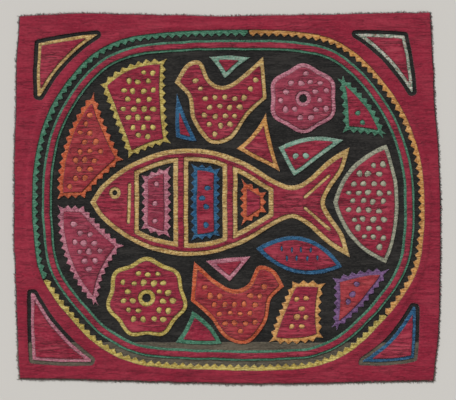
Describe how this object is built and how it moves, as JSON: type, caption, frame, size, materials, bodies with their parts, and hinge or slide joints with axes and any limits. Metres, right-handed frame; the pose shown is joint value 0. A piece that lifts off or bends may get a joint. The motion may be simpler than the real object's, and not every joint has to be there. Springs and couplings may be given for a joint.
{
  "type": "mola panel",
  "caption": "Flat textile panel of layered cotton cloths, cut away and hand-stitched to leave coloured rims; used as a wall or cushion panel.",
  "frame": {"origin": "middle of the underside's bounding box, on the surface that the panel lies on", "axes": "+X along the long side, to the right as seen face on; +Y towards the top edge; +Z out of the face"},
  "size_m": [0.4608, 0.4012, 0.0036],
  "materials": {
    "red": "plain-woven cotton, deep crimson red, slightly puckered",
    "black": "plain-woven cotton, faded black",
    "olive": "plain-woven cotton, olive brown",
    "green": "plain-woven cotton, green",
    "mint": "speckled cotton, mint green",
    "gold": "plain-woven cotton, tan gold",
    "yellow": "plain-woven cotton, mustard yellow",
    "orange": "plain-woven cotton, orange",
    "amber": "plain-woven cotton, amber orange",
    "pink": "plain-woven cotton, dusky pink",
    "purple": "plain-woven cotton, purple",
    "blue": "plain-woven cotton, blue",
    "sage": "speckled cotton, sage grey"
  },
  "bodies": {
    "root": {"ground_black": "black", "ground_olive": "olive", "margin_red": "red", "rim_amber": "amber", "rim_green": "green", "rim_yellow": "yellow", "band_green": "green", "band_red": "red", "fish_colour": "gold", "fish_red": "red", "scale_front_colour": "pink", "scale_front_red": "red", "scale_middle_colour": "blue", "scale_middle_red": "red", "scale_rear_colour": "orange", "scale_rear_red": "red", "wedge_orange_colour": "orange", "wedge_orange_red": "red", "wedge_purple_colour": "purple", "wedge_purple_red": "red", "wedge_green_colour": "green", "wedge_green_red": "red", "wedge_pink_colour": "pink", "wedge_pink_red": "red", "wedge_amber_colour": "amber", "wedge_amber_red": "red", "wedge_yellow_colour": "yellow", "wedge_yellow_red": "red", "boat_mint_colour": "mint", "boat_mint_red": "red", "leaf_blue_colour": "blue", "leaf_blue_red": "red", "leaf_sage_colour": "sage", "leaf_sage_red": "red", "seed_mint_colour": "mint", "seed_mint_red": "red", "seed_pink_colour": "pink", "seed_pink_red": "red", "seed_amber_colour": "amber", "seed_amber_red": "red", "seed_blue_colour": "blue", "seed_blue_red": "red", "boat_green_colour": "green", "boat_green_red": "red", "bloom_pink_colour": "pink", "bloom_pink_red": "red", "bloom_yellow_colour": "yellow", "bloom_yellow_red": "red", "bird_gold_colour": "gold", "bird_gold_red": "red", "bird_orange_colour": "orange", "bird_orange_red": "red", "corner_mint_colour": "mint", "corner_mint_red": "red", "corner_gold_colour": "gold", "corner_gold_red": "red", "corner_blue_colour": "blue", "corner_blue_red": "red", "corner_pink_colour": "pink", "corner_pink_red": "red"}
  },
  "joints": []
}
